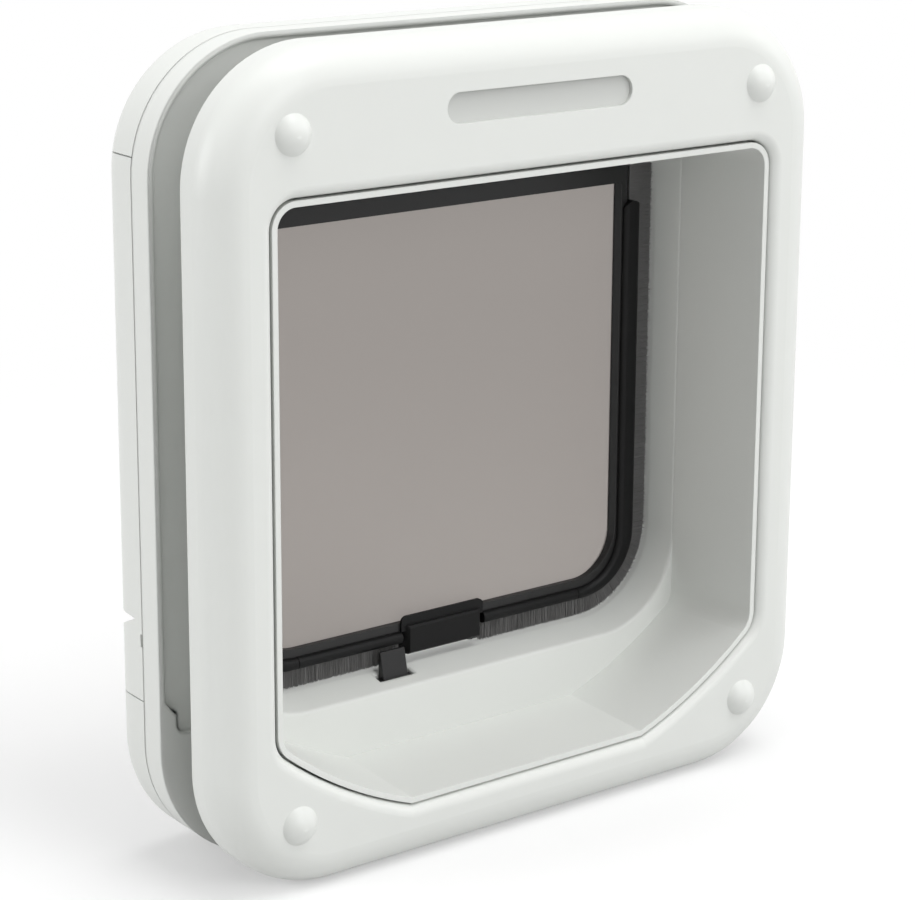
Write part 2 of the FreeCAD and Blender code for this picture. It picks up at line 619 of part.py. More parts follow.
def hinge_bar():
    """Round bar along the flap's head with a web down to the surround and a socket at each end."""
    half = THROAT_HALF - BAR_END_CLEAR
    bar = bar_along_x(-half, half, BAR_R)
    web = block(-SURROUND_OUT[0], SURROUND_OUT[0], FLAP_Y - BAR_WEB / 2, FLAP_Y + BAR_WEB / 2,
                SURROUND_TOP, HINGE_Z)
    sockets = [bar_along_x(side * (half - PIN_SOCKET), side * WIDTH / 2, PIN_R) for side in (-1, 1)]
    return bar.fuse(web).cut(sockets)


def hinge_pin(side):
    inner = THROAT_HALF - BAR_END_CLEAR - PIN_SOCKET
    outer = THROAT_HALF + THROAT_WALL + PIN_BOSS
    return bar_along_x(side * inner, side * outer, PIN_R)


def housing_half():
    return HOUSING_WIDTH / 2 + HOUSING_SPREAD


def magnet_housing():
    """Block let into the flap's lower edge: sloping ends, and a ridge that laps the surround."""
    front, rear = housing_front(), FLAP_Y + HOLDER_THICK / 2
    nose, half = HOUSING_WIDTH / 2, housing_half()
    side = front + HOUSING_TAPER
    plan = [V(-nose, front, HOUSING_LOW), V(nose, front, HOUSING_LOW), V(half, side, HOUSING_LOW),
            V(half, rear, HOUSING_LOW), V(-half, rear, HOUSING_LOW), V(-half, side, HOUSING_LOW)]
    body = Part.Face(Part.makePolygon(plan + plan[:1])).extrude(V(0, 0, HOUSING_HIGH - HOUSING_LOW))
    long_edges = [edge for edge in edges_at(body, front) if edge.BoundBox.XLength > HOUSING_WIDTH / 2]
    body = body.makeChamfer(HOUSING_EDGE, long_edges)
    face = FLAP_Y - SURROUND_FRONT
    ridge = block(-half, half, face - HOUSING_RIDGE, face, SURROUND_OUT[1], HOUSING_RIDGE_HIGH)
    upper = [edge for edge in ridge.Edges if edge.BoundBox.YLength > HOUSING_RIDGE / 2
             and edge.BoundBox.ZMin > HOUSING_HIGH]
    ridge = ridge.makeFillet(HOUSING_RIDGE_R, upper)
    lap = block(-REACH, REACH, face, REACH, SURROUND_OUT[1], REACH)
    return body.fuse(ridge).cut([lap, flap_magnet()])


def housing_front():
    return FLAP_Y - HOLDER_THICK / 2 - HOUSING_PROUD


def flap_magnet():
    """Bar magnet in the housing, open to the back below the surround."""
    rear = FLAP_Y + HOLDER_THICK / 2
    low = (HOUSING_LOW + SURROUND_OUT[1] - MAGNET_HEIGHT) / 2
    return block(-MAGNET_LENGTH / 2, MAGNET_LENGTH / 2, rear - MAGNET_THICK, rear,
                 low, low + MAGNET_HEIGHT)


def catch(x, front, ramp_in_front, lowered):
    """Sliding catch: ramped blade on a wider base, stem under the sill and finger tab at the rear."""
    back = front + CATCH_THICK
    outline = [V(0, front + CATCH_LEDGE, CATCH_FOOT), V(0, front + CATCH_LEDGE, CATCH_BASE_TOP),
               V(0, back - CATCH_TIP, CATCH_TOP), V(0, back, CATCH_TOP), V(0, back, CATCH_FOOT)]
    if not ramp_in_front:
        outline = [V(0, front + back - p.y, p.z) for p in outline]
    blade = Part.Face(Part.makePolygon(outline + outline[:1])).extrude(V(CATCH_WIDTH, 0, 0))
    blade.translate(V(-CATCH_WIDTH / 2, 0, 0))
    base = block(-CATCH_BASE_WIDTH / 2, CATCH_BASE_WIDTH / 2, front, back, CATCH_FOOT, CATCH_BASE_TOP)
    tab_front = REAR + TAB_CLEAR
    stem = block(-CATCH_STEM_WIDTH / 2, CATCH_STEM_WIDTH / 2, back - CATCH_THICK / 2,
                 tab_front + TAB_THICK / 2, CATCH_FOOT, CATCH_FOOT + CATCH_STEM)
    middle = CATCH_FOOT + CATCH_STEM / 2
    tab = block(-TAB_WIDTH / 2, TAB_WIDTH / 2, tab_front, tab_front + TAB_THICK,
                middle - TAB_HEIGHT / 2, middle + TAB_HEIGHT / 2)
    tab = tab.makeFillet(TAB_EDGE_R, edges_at(tab, tab_front + TAB_THICK))
    steps = [(i - (TAB_GROOVES - 1) / 2) * TAB_GROOVE_PITCH for i in range(TAB_GROOVES)]
    grooves = [block(-TAB_WIDTH, TAB_WIDTH, tab_front + TAB_THICK - TAB_GROOVE_DEPTH, tab_front + TAB_THICK,
                     middle + step - TAB_GROOVE_WIDTH / 2, middle + step + TAB_GROOVE_WIDTH / 2)
               for step in steps]
    whole = blade.fuse([base, stem, tab.cut(grooves)])
    return whole.translated(V(x, 0, -CATCH_TRAVEL if lowered else 0))


def screws():
    """Four pan-head screws from the inner frame's pillars into the outer frame's."""
    solids = []
    for x, z in screw_places():
        shank = rod(x, z, SCREW_R, SCREW_END_WALL + SCREW_THREAD_CLEAR, PILLAR_REAR)
        head = rod(x, z, HEAD_R, PILLAR_REAR, PILLAR_REAR + HEAD_HEIGHT)
        head = head.makeFillet(HEAD_HEIGHT / 2, edges_at(head, PILLAR_REAR + HEAD_HEIGHT))
        slot = block(x - HEAD_R, x + HEAD_R, PILLAR_REAR + HEAD_HEIGHT / 2, PILLAR_REAR + HEAD_HEIGHT,
                     z - HEAD_SLOT / 2, z + HEAD_SLOT / 2)
        solids.append(shank.fuse(head).cut(slot))
    return Part.makeCompound(solids)


def place(name, shape):
    """Moves a solid to the part's own origin and writes it."""
    shape = shape.removeSplitter()
    shape.translate(V(0, -MIDDLE_Y, 0))
    shape.exportStep(os.path.join("parts", name + ".step"))


def main():
    os.makedirs("parts", exist_ok=True)
    place("outer_frame", outer_frame())
    place("outer_liner", outer_liner())
    place("inner_frame", inner_frame())
    place("top_cover", top_cover())
    place("side_cover", side_cover())
    place("lower_cover", lower_cover())
    place("flap_panel", panel())
    place("flap_surround", surround())
    place("flap_hinge_bar", hinge_bar())
    place("pile_holder_left", holder(-REACH, -HOLDER_SPLIT_X - HOLDER_SPLIT / 2))
    place("pile_holder_low_left", holder(-HOLDER_SPLIT_X + HOLDER_SPLIT / 2, -housing_half()))
    place("pile_holder_low_right", holder(housing_half(), HOLDER_SPLIT_X - HOLDER_SPLIT / 2))
    place("pile_holder_right", holder(HOLDER_SPLIT_X + HOLDER_SPLIT / 2, REACH))
    place("pile_strip_left", pile(-1))
    place("pile_strip_right", pile(1))
    place("hinge_pin_left", hinge_pin(-1))
    place("hinge_pin_right", hinge_pin(1))
    place("magnet_housing", magnet_housing())
    place("flap_magnet", flap_magnet())
    place("frame_magnet", frame_magnet())
    (outside_x, outside_front), (inside_x, inside_front) = catch_fronts()
    place("outside_catch", catch(outside_x, outside_front, True, False))
    place("inside_catch", catch(inside_x, inside_front, False, True))
    place("door_screws", screws())


main()
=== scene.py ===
import json
import math

import bpy
from mathutils import Matrix, Vector

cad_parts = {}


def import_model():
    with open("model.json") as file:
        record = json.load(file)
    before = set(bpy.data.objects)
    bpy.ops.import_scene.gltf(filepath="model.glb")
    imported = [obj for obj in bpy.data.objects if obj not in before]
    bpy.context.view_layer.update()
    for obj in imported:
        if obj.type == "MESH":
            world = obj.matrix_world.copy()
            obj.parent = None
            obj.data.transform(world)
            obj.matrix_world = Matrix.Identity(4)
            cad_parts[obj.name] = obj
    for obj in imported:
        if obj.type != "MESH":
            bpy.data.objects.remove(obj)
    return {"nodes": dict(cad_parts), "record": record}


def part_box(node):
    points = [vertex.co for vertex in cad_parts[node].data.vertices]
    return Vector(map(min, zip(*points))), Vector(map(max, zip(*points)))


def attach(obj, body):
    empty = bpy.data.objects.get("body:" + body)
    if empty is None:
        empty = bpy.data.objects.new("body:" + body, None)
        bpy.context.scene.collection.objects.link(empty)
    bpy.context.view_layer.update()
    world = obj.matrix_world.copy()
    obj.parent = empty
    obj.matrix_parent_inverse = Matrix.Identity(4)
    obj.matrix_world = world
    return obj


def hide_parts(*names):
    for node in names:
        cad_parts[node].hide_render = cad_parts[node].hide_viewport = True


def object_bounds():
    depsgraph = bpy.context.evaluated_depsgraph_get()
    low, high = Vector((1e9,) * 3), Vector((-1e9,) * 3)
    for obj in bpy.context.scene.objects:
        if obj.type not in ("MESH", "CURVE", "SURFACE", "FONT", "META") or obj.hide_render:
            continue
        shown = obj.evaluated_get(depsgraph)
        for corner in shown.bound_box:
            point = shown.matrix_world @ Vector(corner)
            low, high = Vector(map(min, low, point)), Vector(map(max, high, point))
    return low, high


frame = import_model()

# Cat flap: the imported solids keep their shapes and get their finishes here. The pile strips are
# remade as rows of fibres, and floor, light and camera follow. Metres, +Y into the house.

MM = 0.001
CAD_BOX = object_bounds()

# Camera, fitted to the frames' edges
CAMERA_PLACE = (-0.4203, -0.5542, 0.3023)
CAMERA_TURN = 36.76         # degrees from looking along +Y towards +X
CAMERA_FALL = 14.14         # degrees below the horizon
CAMERA_ROLL = 0.30
CAMERA_LENS = 104.0
CAMERA_SENSOR = 36.0
CAMERA_SHIFT_Y = -0.1
CAMERA_CLIP = (0.05, 50)

# Light and floor
WORLD_LEVEL = 0.45
LAMPS = (                   # name, place, size and watts
    ("key", (0.36, -2.17, 1.07), 1.1, 17.6),
    ("key_high", (0.48, -1.08, 2.20), 1.1, 17.6),
    ("right", (2.05, -1.01, 0.83), 1.1, 7.4),
    ("overhead", (0.15, 0.0, 1.60), 1.0, 9.3),
    ("rear_left", (-1.44, 0.56, 0.51), 0.8, 10.6))
FLOOR_HALF = 6.0
FLOOR_TONE = 0.62
FLOOR_GLOW = 0.32           # lifts the shadowed floor a little, for the camera alone
FLOOR_NEAR = 0.20           # the floor keeps its shading up to here,
FLOOR_FAR = 0.55            # and is the background's white from here on

# Recess in the outer frame's face
DOME_RISE = 2.8 * MM        # the screw domes stand this far before the face
RECESS_HALF_LENGTH = 30.2 * MM
RECESS_HALF_HEIGHT = 4.0 * MM
RECESS_DEPTH = 1.0 * MM
RECESS_DROP = 18.7 * MM     # its middle below the frame's top
RECESS_PAINTED_SHADE = (0.16, 0.34) # painted shade of its floor and walls, low and high: darker towards its upper edge

# Finishes
WHITE = (0.70, 0.715, 0.69)
EDGE = 0.35 * MM            # how far a white moulding's edges catch light as if eased
SOFT_EDGE = 1.6 * MM        # and the inner frame's, which are rounder

# Sizes of the pile strips
STRIP_OUTER_R = 25.1 * MM   # corner of the fibres' tips
STRIP_ROOT_R = 16.0 * MM    # corner of the line that they stand on
STRIP_SIDE = 8.5 * MM       # from that line to the tips, at the sides
STRIP_LOW = 8.9 * MM        # and along the bottom
STRIP_STEPS = 24            # of the path round the corner
FIBRE_ROOT_R = 0.10 * MM
FIBRE_TIP_R = 0.06 * MM
FIBRE_PITCH = 0.17 * MM
FIBRE_ROWS = 6
FIBRE_LEAN = 0.05           # radians, at most, to any side
FIBRE_TRIM = 0.02           # uneven ends, as a share of the length
FIN_THICK = 0.4 * MM        # woven backing between the rows
FIN_SHARE = 0.97            # its height, as a share of the fibres' length


# Shaders


def maths_in(tree):
    """Function that adds a maths node to a tree, from numbers and sockets, and gives its output."""
    def maths(operation, *values):
        node = tree.nodes.new("ShaderNodeMath")
        node.operation = operation
        for i, value in enumerate(values):
            if isinstance(value, (int, float)):
                node.inputs[i].default_value = value
            else:
                tree.links.new(value, node.inputs[i])
        return node.outputs[0]
    return maths


def group_tree(name, inputs, outputs):
    """Shader node group with its sockets, given as (name, type, default)."""
    tree = bpy.data.node_groups.new(name, "ShaderNodeTree")
    for label, kind, default in inputs:
        socket = tree.interface.new_socket(label, in_out="INPUT", socket_type="NodeSocket" + kind)
        socket.default_value = default
    for label, kind in outputs:
        tree.interface.new_socket(label, in_out="OUTPUT", socket_type="NodeSocket" + kind)
    return tree, tree.nodes.new("NodeGroupInput"), tree.nodes.new("NodeGroupOutput")


def make_mould_tone():
    """Faint cloudiness of moulded plastic: a colour that drifts a little over the surface."""
    tree, given, out = group_tree(
        "mould_tone",
        [("Colour", "Color", (0.7, 0.7, 0.7, 1)), ("Spread", "Float", 0.03), ("Patches", "Float", 40)],
        [("Colour", "Color")])
    place = tree.nodes.new("ShaderNodeTexCoord")
    noise = tree.nodes.new("ShaderNodeTexNoise")
    noise.inputs["Detail"].default_value = 3
    drift = tree.nodes.new("ShaderNodeMapRange")
    low = tree.nodes.new("ShaderNodeMath")
    low.operation = "SUBTRACT"
    low.inputs[0].default_value = 1
    tint = tree.nodes.new("ShaderNodeMix")
    tint.data_type = "RGBA"
    tint.blend_type = "MULTIPLY"
    tint.inputs[0].default_value = 1
    link = tree.links.new
    link(place.outputs["Object"], noise.inputs["Vector"])
    link(given.outputs["Patches"], noise.inputs["Scale"])
    link(noise.outputs["Fac"], drift.inputs["Value"])
    link(given.outputs["Spread"], low.inputs[1])
    link(low.outputs[0], drift.inputs["To Min"])
    link(given.outputs["Colour"], tint.inputs[6])
    link(drift.outputs[0], tint.inputs[7])
    link(tint.outputs[2], out.inputs["Colour"])
    return tree


def make_fine_grain():
    """Fine texture of a spark-eroded mould: a height and a roughness that vary together."""
    tree, given, out = group_tree(
        "fine_grain",
        [("Grains", "Float", 2500), ("Roughness", "Float", 0.4), ("Spread", "Float", 0.05)],
        [("Height", "Float"), ("Roughness", "Float")])
    place = tree.nodes.new("ShaderNodeTexCoord")
    noise = tree.nodes.new("ShaderNodeTexNoise")
    noise.inputs["Detail"].default_value = 2
    centred = tree.nodes.new("ShaderNodeMath")
    centred.operation = "SUBTRACT"
    centred.inputs[1].default_value = 0.5
    varied = tree.nodes.new("ShaderNodeMath")
    varied.operation = "MULTIPLY_ADD"
    link = tree.links.new
    link(place.outputs["Object"], noise.inputs["Vector"])
    link(given.outputs["Grains"], noise.inputs["Scale"])
    link(noise.outputs["Fac"], centred.inputs[0])
    link(centred.outputs[0], varied.inputs[0])
    link(given.outputs["Spread"], varied.inputs[1])
    link(given.outputs["Roughness"], varied.inputs[2])
    link(noise.outputs["Fac"], out.inputs["Height"])
    link(varied.outputs[0], out.inputs["Roughness"])
    return tree


def make_recess_painted_shade():
    """Painted shade for the recess: 0 on the face, growing with depth and towards the recess's upper
    edge, as if its top wall shaded it.
    """
    tree, given, out = group_tree(
        "recess_painted_shade",
        [("Face", "Float", 0.0), ("Middle", "Float", 0.0), ("Low shade", "Float", 0.2),
         ("High shade", "Float", 0.3)],
        [("Shade", "Float")])
    link = tree.links.new

    maths = maths_in(tree)
    place = tree.nodes.new("ShaderNodeTexCoord")
    split = tree.nodes.new("ShaderNodeSeparateXYZ")
    link(place.outputs["Object"], split.inputs[0])
    depth = maths("SUBTRACT", split.outputs["Y"], given.outputs["Face"])
    height = maths("SUBTRACT", split.outputs["Z"], given.outputs["Middle"])
    margin = RECESS_DEPTH / 10
    inside = maths("LESS_THAN", maths("ABSOLUTE", split.outputs["X"]), RECESS_HALF_LENGTH + margin)
    inside = maths("MULTIPLY", inside,
                   maths("LESS_THAN", maths("ABSOLUTE", height), RECESS_HALF_HEIGHT + margin))
    inside = maths("MULTIPLY", inside, maths("LESS_THAN", depth, RECESS_DEPTH + margin))
    deep = tree.nodes.new("ShaderNodeMapRange")
    deep.inputs["From Min"].default_value = margin
    deep.inputs["From Max"].default_value = RECESS_DEPTH
    link(depth, deep.inputs["Value"])
    # Painted shade: stronger towards the upper edge, where the top wall would shade the recess
    grade = tree.nodes.new("ShaderNodeMapRange")
    grade.inputs["From Min"].default_value = -RECESS_HALF_HEIGHT
    grade.inputs["From Max"].default_value = RECESS_HALF_HEIGHT
    link(height, grade.inputs["Value"])
    link(given.outputs["Low shade"], grade.inputs["To Min"])
    link(given.outputs["High shade"], grade.inputs["To Max"])
    shade = maths("MULTIPLY", maths("MULTIPLY", inside, deep.outputs[0]), grade.outputs[0])
    link(shade, out.inputs["Shade"])
    return tree


def material(name):
    """Empty node material with its Principled BSDF."""
    made = bpy.data.materials.new(name)
    made.use_nodes = True
    return made, made.node_tree, made.node_tree.nodes["Principled BSDF"]


def placed_group(tree, group, **values):
    """Shader group in a material, with its own values."""
    node = tree.nodes.new("ShaderNodeGroup")
    node.node_tree = group
    for label, value in values.items():
        node.inputs[label].default_value = value
    return node


def moulded(name, colour, roughness, gloss, spread, grains, relief, edge_r, tone, grain):
    """Moulded plastic: drifting tone, fine grain, and edges that catch light as if eased."""
    made, tree, shader = material(name)
    tint = placed_group(tree, tone, Colour=(*colour, 1), Spread=spread)
    rough = placed_group(tree, grain, Grains=grains, Roughness=roughness)
    shader.inputs["Specular IOR Level"].default_value = gloss
    bump = tree.nodes.new("ShaderNodeBump")
    bump.inputs["Distance"].default_value = relief
    bump.inputs["Strength"].default_value = 0.3
    eased = tree.nodes.new("ShaderNodeBevel")
    eased.samples = 6
    eased.inputs["Radius"].default_value = edge_r
    link = tree.links.new
    link(tint.outputs["Colour"], shader.inputs["Base Color"])
    link(rough.outputs["Roughness"], shader.inputs["Roughness"])
    link(rough.outputs["Height"], bump.inputs["Height"])
    link(eased.outputs[0], bump.inputs["Normal"])
    link(bump.outputs[0], shader.inputs["Normal"])
    return made


def paint_shade_in_recess(made):
    """Paints shade into the floor and walls of the outer frame's recess, darkening the base colour of a
    moulded finish.
    """
    tree = made.node_tree
    base = tree.nodes["Principled BSDF"].inputs["Base Color"]
    colour = base.links[0].from_socket
    low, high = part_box("outer_frame")
    painted_shade = placed_group(tree, make_recess_painted_shade(), **{
        "Face": low.y + DOME_RISE, "Middle": high.z - RECESS_DROP,
        "Low shade": RECESS_PAINTED_SHADE[0], "High shade": RECESS_PAINTED_SHADE[1]})
    # Painted shade: the base colour is darkened towards black by this amount
    darker = tree.nodes.new("ShaderNodeMix")
    darker.data_type = "RGBA"
    darker.inputs[7].default_value = (0, 0, 0, 1)
    tree.links.new(painted_shade.outputs["Shade"], darker.inputs[0])
    tree.links.new(colour, darker.inputs[6])
    tree.links.new(darker.outputs[2], base)
    return made


def smoked_pane(tone, grain):
    """Smoked translucent sheet: light comes through it, tinted and a little softened."""
    made, tree, shader = material("smoked pane")
    tint = placed_group(tree, tone, Colour=(0.378, 0.351, 0.332, 1), Spread=0.015, Patches=15)
    rough = placed_group(tree, grain, Grains=900, Roughness=0.3, Spread=0.04)
    tree.links.new(tint.outputs["Colour"], shader.inputs["Base Color"])
    tree.links.new(rough.outputs["Roughness"], shader.inputs["Roughness"])
    shader.inputs["IOR"].default_value = 1.2
    shader.inputs["Transmission Weight"].default_value = 0.85
    return made


def pile_yarn(tone):
    """Dark grey yarn: matt, a little lighter at grazing light."""
    made, tree, shader = material("pile yarn")
    tint = placed_group(tree, tone, Colour=(0.150, 0.148, 0.146, 1), Spread=0.08, Patches=2200)
    tree.links.new(tint.outputs["Colour"], shader.inputs["Base Color"])
    shader.inputs["Roughness"].default_value = 0.85
    shader.inputs["Sheen Weight"].default_value = 0.25
    return made


def plated_steel(grain):
    """Zinc-plated steel of the pins and screws."""
    made, tree, shader = material("plated steel")
    shader.inputs["Base Color"].default_value = (0.62, 0.62, 0.60, 1)
    shader.inputs["Metallic"].default_value = 1
    rough = placed_group(tree, grain, Grains=4000, Roughness=0.32, Spread=0.12)
    tree.links.new(rough.outputs["Roughness"], shader.inputs["Roughness"])
    return made


def finishes():
    """The materials, by the record's slot."""
    tone, grain = make_mould_tone(), make_fine_grain()

    def white(name, edge_r):
        return moulded(name, WHITE, 0.38, 0.4, 0.02, 3000, 0.01 * MM, edge_r, tone, grain)

    return {
        "white_plastic": white("white moulding", EDGE),
        "black_plastic": moulded("black moulding", (0.007, 0.007, 0.0072), 0.42, 0.15, 0.10, 3500,
                                 0.02 * MM, 0.25 * MM, tone, grain),
        "satin": moulded("satin black moulding", (0.017, 0.017, 0.0172), 0.34, 0.3, 0.12, 3500,
                         0.02 * MM, 0.3 * MM, tone, grain),
        # The outer frame's white, with painted shade in its recess
        "face": paint_shade_in_recess(white("white moulding, painted recess shade", EDGE)),
        "soft": white("white moulding, soft edges", SOFT_EDGE),
        "smoked_panel": smoked_pane(tone, grain),
        "pile": pile_yarn(tone),
        "steel": plated_steel(grain),
        "magnet": moulded("ferrite", (0.06, 0.06, 0.06), 0.6, 0.5, 0.15, 2500,
                          0.02 * MM, 0.2 * MM, tone, grain),
    }


def dress_nodes(made):
    """Gives each CAD node the finish of its slot, or a closer one."""
    # outer_frame takes the white finish with painted shade in its recess
    closer = {"flap_surround": "satin", "outside_catch": "satin", "inside_catch": "satin",
              "inner_frame": "soft", "outer_frame": "face"}
    for row in frame["record"]["subparts"]:
        mesh = frame["nodes"][row["node"]].data
        mesh.materials.clear()
        mesh.materials.append(made[closer.get(row["node"], row["material_slot"])])


# Pile strips, from their root line to the fibres


def pile_tree(yarn):
    """Rows of fibres along a path that stand square to it in the flap's plane, round a backing fin."""
    tree = bpy.data.node_groups.new("pile_rows", "GeometryNodeTree")
    face = tree.interface
    face.new_socket("Geometry", in_out="INPUT", socket_type="NodeSocketGeometry")
    for label, value in (("Pitch", FIBRE_PITCH),
                         ("Root radius", FIBRE_ROOT_R), ("Tip radius", FIBRE_TIP_R),
                         ("Length", STRIP_SIDE), ("Lean", FIBRE_LEAN), ("Trim", FIBRE_TRIM),
                         ("Row spread", MM), ("Fin thickness", FIN_THICK), ("Fin share", FIN_SHARE),
                         ("Side", 1.0)):
        face.new_socket(label, in_out="INPUT", socket_type="NodeSocketFloat").default_value = value
    face.new_socket("Geometry", in_out="OUTPUT", socket_type="NodeSocketGeometry")
    given, out = tree.nodes.new("NodeGroupInput"), tree.nodes.new("NodeGroupOutput")
    link = tree.links.new

    maths = maths_in(tree)
    def vector(operation, *values):
        node = tree.nodes.new("ShaderNodeVectorMath")
        node.operation = operation
        for socket, value in values:
            if isinstance(value, (tuple, float)):
                node.inputs[socket].default_value = value
            else:
                link(value, node.inputs[socket])
        return node.outputs[0]

    def uneven(low, high, seed):
        node = tree.nodes.new("FunctionNodeRandomValue")
        node.data_type = "FLOAT"
        for socket, value in ((2, low), (3, high)):
            if isinstance(value, (int, float)):
                node.inputs[socket].default_value = value
            else:
                link(value, node.inputs[socket])
        node.inputs["Seed"].default_value = seed
        return node.outputs[1]

    def outwards():
        """Square to the path within the flap's plane, away from the pane."""
        tangent = tree.nodes.new("GeometryNodeInputTangent")
        square = vector("CROSS_PRODUCT", (0, tangent.outputs[0]), (1, (0.0, 1.0, 0.0)))
        return vector("SCALE", (0, square), ("Scale", given.outputs["Side"]))

    # How far each point's fibres reach, as a share of the full length
    reach = tree.nodes.new("GeometryNodeInputNamedAttribute")
    reach.data_type = "FLOAT"
    reach.inputs["Name"].default_value = "reach"
    reach = reach.outputs["Attribute"]
    path = tree.nodes.new("GeometryNodeMeshToCurve")
    link(given.outputs["Geometry"], path.inputs[0])
    joined = tree.nodes.new("GeometryNodeJoinGeometry")

    # The fibre: a slim pointed prism that grows from its root along +Z
    fibre = tree.nodes.new("GeometryNodeMeshCone")
    fibre.inputs["Vertices"].default_value = 3
    link(given.outputs["Tip radius"], fibre.inputs["Radius Top"])
    link(given.outputs["Root radius"], fibre.inputs["Radius Bottom"])
    link(given.outputs["Length"], fibre.inputs["Depth"])

    lean = given.outputs["Lean"]
    back = maths("MULTIPLY", lean, -1.0)
    spread = given.outputs["Row spread"]
    for row in range(FIBRE_ROWS):
        resample = tree.nodes.new("GeometryNodeResampleCurve")
        resample.mode = "LENGTH"
        link(path.outputs[0], resample.inputs["Curve"])
        link(given.outputs["Pitch"], resample.inputs["Length"])
        aim = tree.nodes.new("FunctionNodeAlignRotationToVector")
        aim.axis = "Z"
        leaning = vector("ADD", (0, outwards()), (1, vector(
            "SCALE", (0, (0.0, 1.0, 0.0)), ("Scale", uneven(back, lean, 10 + row)))))
        tangent = tree.nodes.new("GeometryNodeInputTangent")
        sideways = vector("SCALE", (0, tangent.outputs[0]), ("Scale", uneven(back, lean, 20 + row)))
        link(vector("ADD", (0, leaning), (1, sideways)), aim.inputs["Vector"])
        stand = tree.nodes.new("GeometryNodeInstanceOnPoints")
        link(resample.outputs[0], stand.inputs["Points"])
        link(fibre.outputs["Mesh"], stand.inputs["Instance"])
        link(aim.outputs[0], stand.inputs["Rotation"])
        shortened = uneven(0.0, given.outputs["Trim"], 30 + row)
        trimmed = maths("MULTIPLY", reach, maths("SUBTRACT", 1.0, shortened))
        scale = tree.nodes.new("ShaderNodeCombineXYZ")
        scale.inputs[0].default_value = 1
        scale.inputs[1].default_value = 1
        link(trimmed, scale.inputs[2])
        link(scale.outputs[0], stand.inputs["Scale"])
        shift = tree.nodes.new("GeometryNodeTransform")
        place = tree.nodes.new("ShaderNodeCombineXYZ")
        share = (row + 0.5) / FIBRE_ROWS - 0.5
        link(maths("MULTIPLY", spread, share), place.inputs[1])
        link(place.outputs[0], shift.inputs["Translation"])
        link(stand.outputs[0], shift.inputs["Geometry"])
        link(shift.outputs[0], joined.inputs[0])

    # The fin: the path drawn outwards to a sheet, then given its thickness and closed
    captured = tree.nodes.new("GeometryNodeCaptureAttribute")
    captured.capture_items.new("VECTOR", "Outwards")
    link(path.outputs[0], captured.inputs["Geometry"])
    link(vector("SCALE", (0, outwards()), ("Scale", reach)), captured.inputs["Outwards"])
    line = tree.nodes.new("GeometryNodeCurveToMesh")
    link(captured.outputs["Geometry"], line.inputs["Curve"])
    sheet = tree.nodes.new("GeometryNodeExtrudeMesh")
    sheet.mode = "EDGES"
    link(line.outputs[0], sheet.inputs["Mesh"])
    link(captured.outputs["Outwards"], sheet.inputs["Offset"])
    height = maths("MULTIPLY", given.outputs["Length"], given.outputs["Fin share"])
    link(height, sheet.inputs["Offset Scale"])
    thick = tree.nodes.new("GeometryNodeExtrudeMesh")
    thick.mode = "FACES"
    thick.inputs["Individual"].default_value = False
    across = tree.nodes.new("ShaderNodeCombineXYZ")
    across.inputs[1].default_value = 1
    link(sheet.outputs["Mesh"], thick.inputs["Mesh"])
    link(across.outputs[0], thick.inputs["Offset"])
    link(given.outputs["Fin thickness"], thick.inputs["Offset Scale"])
    shell = tree.nodes.new("GeometryNodeJoinGeometry")
    link(sheet.outputs["Mesh"], shell.inputs[0])
    link(thick.outputs["Mesh"], shell.inputs[0])
    welded = tree.nodes.new("GeometryNodeMergeByDistance")
    welded.inputs["Distance"].default_value = FIN_THICK / 50
    link(shell.outputs[0], welded.inputs["Geometry"])
    centre = tree.nodes.new("GeometryNodeTransform")
    half = tree.nodes.new("ShaderNodeCombineXYZ")
    link(maths("MULTIPLY", given.outputs["Fin thickness"], -0.5), half.inputs[1])
    link(half.outputs[0], centre.inputs["Translation"])
    link(welded.outputs[0], centre.inputs["Geometry"])
    link(centre.outputs[0], joined.inputs[0])

    real = tree.nodes.new("GeometryNodeRealizeInstances")
    finish = tree.nodes.new("GeometryNodeSetMaterial")
    finish.inputs["Material"].default_value = yarn
    link(joined.outputs[0], real.inputs[0])
    link(real.outputs[0], finish.inputs["Geometry"])
    link(finish.outputs[0], out.inputs[0])
    return tree


def strip_path(node):
    """Root line of a strip, down the side, round the corner and along the bottom, with each
    point's distance to the tips."""
    low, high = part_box(node)
    side = 1 if high.x > -low.x else -1
    outer, end = max(abs(low.x), abs(high.x)), min(abs(low.x), abs(high.x))
    y = (low.y + high.y) / 2
    half, level = outer - STRIP_SIDE, low.z + STRIP_LOW
    centre = Vector((side * (half - STRIP_ROOT_R), y, level + STRIP_ROOT_R))
    tips = Vector((side * (outer - STRIP_OUTER_R), y, low.z + STRIP_OUTER_R))
    path = [(Vector((side * half, y, high.z)), STRIP_SIDE)]
    for i in range(STRIP_STEPS + 1):
        angle = math.pi / 2 * (1 - i / STRIP_STEPS)
        ray = Vector((side * math.sin(angle), 0, -math.cos(angle)))
        reach = STRIP_OUTER_R - STRIP_ROOT_R + (tips - centre).dot(ray)
        path.append((centre + ray * STRIP_ROOT_R, reach))
    path.append((Vector((side * end, y, level)), STRIP_LOW))
    return path, side


def path_mesh(name, path):
    """Line of edges along a path, each point marked with its share of the full length."""
    mesh = bpy.data.meshes.new(name)
    mesh.from_pydata([place for place, reach in path], [(i, i + 1) for i in range(len(path) - 1)], [])
    share = mesh.attributes.new("reach", "FLOAT", "POINT")
    share.data.foreach_set("value", [reach / STRIP_SIDE for place, reach in path])
    return mesh


def set_inputs(modifier, tree, values):
    """Sets a modifier's inputs by the identifier of each named socket."""
    for item in tree.interface.items_tree:
        if item.in_out == "INPUT" and item.name in values:
            modifier[item.identifier] = values[item.name]


